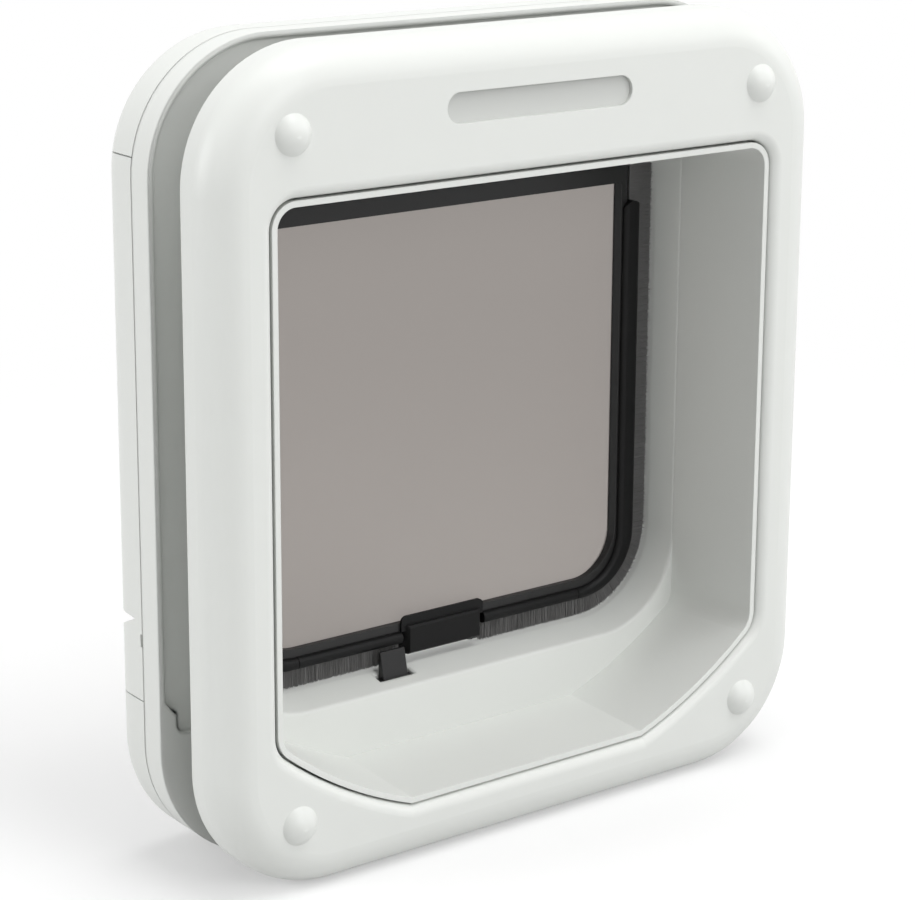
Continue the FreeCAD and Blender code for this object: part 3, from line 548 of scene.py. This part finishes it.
def settled(holder, name):
    """Plain mesh object of a holder's evaluated shape; the holder goes."""
    shape = bpy.data.meshes.new_from_object(holder.evaluated_get(bpy.context.evaluated_depsgraph_get()))
    piece = bpy.data.objects.new(name, shape)
    bpy.context.scene.collection.objects.link(piece)
    bpy.data.objects.remove(holder)
    return piece


def pile_strips(yarn):
    """Fibre rows in place of the two plain strips."""
    tree = pile_tree(yarn)
    for node in ("pile_strip_left", "pile_strip_right"):
        path, side = strip_path(node)
        holder = bpy.data.objects.new(node + "_path", path_mesh(node + "_path", path))
        bpy.context.scene.collection.objects.link(holder)
        modifier = holder.modifiers.new("rows", "NODES")
        modifier.node_group = tree
        low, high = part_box(node)
        set_inputs(modifier, tree, {"Row spread": high.y - low.y, "Side": side})
        holder.update_tag()
        piece = settled(holder, "fibres_" + node.rsplit("_", 1)[1])
        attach(piece, "flap")
        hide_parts(node)


# Floor, light and camera


def stage_rays(tree):
    """1 for the rays that see the background: camera, glossy and transmission."""
    rays = tree.nodes.new("ShaderNodeLightPath")
    seen = rays.outputs["Is Camera Ray"]
    for label in ("Is Glossy Ray", "Is Transmission Ray"):
        either = tree.nodes.new("ShaderNodeMath")
        either.operation = "MAXIMUM"
        tree.links.new(seen, either.inputs[0])
        tree.links.new(rays.outputs[label], either.inputs[1])
        seen = either.outputs[0]
    return seen


def world():
    """Plain light from all around, and a white background for the rays that see it."""
    scene = bpy.context.scene
    made = bpy.data.worlds.new("studio")
    scene.world = made
    made.use_nodes = True
    tree = made.node_tree
    level = tree.nodes.new("ShaderNodeMapRange")
    level.inputs["To Min"].default_value = WORLD_LEVEL
    tree.links.new(stage_rays(tree), level.inputs["Value"])
    background = tree.nodes["Background"]
    background.inputs["Color"].default_value = (1, 1, 1, 1)
    tree.links.new(level.outputs[0], background.inputs["Strength"])


def floor():
    """Pale floor that keeps its shadow near the object and turns into the white background."""
    mesh = bpy.data.meshes.new("floor")
    corners = [(-FLOOR_HALF, -FLOOR_HALF, 0), (FLOOR_HALF, -FLOOR_HALF, 0),
               (FLOOR_HALF, FLOOR_HALF, 0), (-FLOOR_HALF, FLOOR_HALF, 0)]
    mesh.from_pydata(corners, [], [(0, 1, 2, 3)])
    made, tree, shader = material("floor")
    shader.inputs["Base Color"].default_value = (FLOOR_TONE, FLOOR_TONE, FLOOR_TONE, 1)
    shader.inputs["Roughness"].default_value = 1
    shader.inputs["Specular IOR Level"].default_value = 0
    shader.inputs["Emission Color"].default_value = (1, 1, 1, 1)
    link = tree.links.new
    seen = stage_rays(tree)
    glow = tree.nodes.new("ShaderNodeMath")
    glow.operation = "MULTIPLY"
    glow.inputs[1].default_value = FLOOR_GLOW
    link(seen, glow.inputs[0])
    link(glow.outputs[0], shader.inputs["Emission Strength"])
    place = tree.nodes.new("ShaderNodeTexCoord")
    distance = tree.nodes.new("ShaderNodeVectorMath")
    distance.operation = "LENGTH"
    link(place.outputs["Object"], distance.inputs[0])
    away = tree.nodes.new("ShaderNodeMapRange")
    away.interpolation_type = "SMOOTHSTEP"
    away.inputs["From Min"].default_value = FLOOR_NEAR
    away.inputs["From Max"].default_value = FLOOR_FAR
    link(distance.outputs["Value"], away.inputs["Value"])
    share = tree.nodes.new("ShaderNodeMath")
    share.operation = "MULTIPLY"
    link(away.outputs[0], share.inputs[0])
    link(seen, share.inputs[1])
    white = tree.nodes.new("ShaderNodeEmission")
    blend = tree.nodes.new("ShaderNodeMixShader")
    link(share.outputs[0], blend.inputs[0])
    link(shader.outputs[0], blend.inputs[1])
    link(white.outputs[0], blend.inputs[2])
    link(blend.outputs[0], tree.nodes["Material Output"].inputs["Surface"])
    mesh.materials.append(made)
    plane = bpy.data.objects.new("floor", mesh)
    bpy.context.scene.collection.objects.link(plane)


def soft_box(name, place, size, watts, target):
    """Square area lamp that faces the target."""
    lamp = bpy.data.lights.new(name, "AREA")
    lamp.shape = "SQUARE"
    lamp.size = size
    lamp.energy = watts
    holder = bpy.data.objects.new(name, lamp)
    holder.location = place
    holder.rotation_euler = (Vector(target) - Vector(place)).to_track_quat("-Z", "Y").to_euler()
    bpy.context.scene.collection.objects.link(holder)


def camera():
    """Camera at the photograph's viewing angle."""
    lens = bpy.data.cameras.new("camera")
    lens.lens = CAMERA_LENS
    lens.sensor_width = CAMERA_SENSOR
    lens.shift_y = CAMERA_SHIFT_Y
    lens.clip_start, lens.clip_end = CAMERA_CLIP
    holder = bpy.data.objects.new("camera", lens)
    turn, fall, roll = (math.radians(v) for v in (CAMERA_TURN, CAMERA_FALL, CAMERA_ROLL))
    holder.matrix_world = (Matrix.Translation(CAMERA_PLACE) @ Matrix.Rotation(-turn, 4, "Z")
                           @ Matrix.Rotation(math.pi / 2 - fall, 4, "X") @ Matrix.Rotation(roll, 4, "Z"))
    bpy.context.scene.collection.objects.link(holder)
    bpy.context.scene.camera = holder


def main():
    """Finishes first, then the pile, the floor, the light and the camera."""
    made = finishes()
    dress_nodes(made)
    pile_strips(made["pile"])
    world()
    floor()
    middle = (0, 0, (CAD_BOX[0].z + CAD_BOX[1].z) / 2)
    for name, place, size, watts in LAMPS:
        soft_box(name, place, size, watts, middle)
    camera()
    bpy.context.scene.view_settings.view_transform = "Standard"


main()
